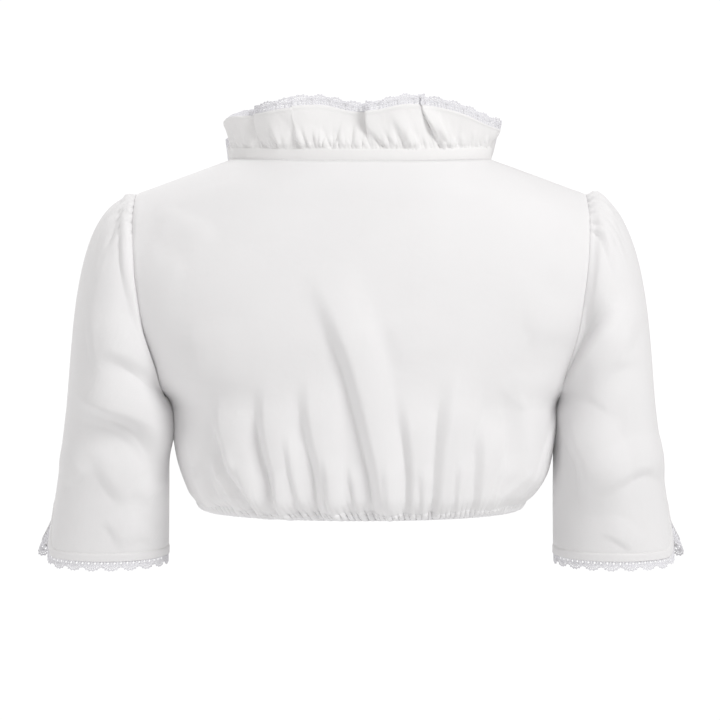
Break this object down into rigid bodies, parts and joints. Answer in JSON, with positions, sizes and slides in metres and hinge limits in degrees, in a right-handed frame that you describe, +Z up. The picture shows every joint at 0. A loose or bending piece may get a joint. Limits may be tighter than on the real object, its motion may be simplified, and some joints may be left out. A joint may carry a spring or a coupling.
{
  "type": "dirndl blouse",
  "caption": "Cropped white cotton blouse with a gathered stand-up ruffle, elbow-length sleeves with slit lace-edged cuffs and an elastic hem, filled out as if worn.",
  "frame": {"origin": "midway between the two points where the shoulder seams meet the neckline, where the wearer's shoulders hold it", "axes": "+X towards the wearer's left sleeve, -Y out of the front, +Z up"},
  "size_m": [0.5628, 0.2562, 0.4044],
  "materials": {
    "cotton": "matte plain-weave white cotton",
    "lace": "matte white cotton lace"
  },
  "bodies": {
    "root": {"back": "cotton", "front": "cotton", "hem_casing_back": "cotton", "hem_casing_front": "cotton", "neck_band": "cotton", "collar_ruffle": "cotton", "collar_lace": "lace", "sleeve_left": "cotton", "sleeve_right": "cotton", "cuff_lace_left": "lace", "cuff_lace_right": "lace"}
  },
  "joints": []
}
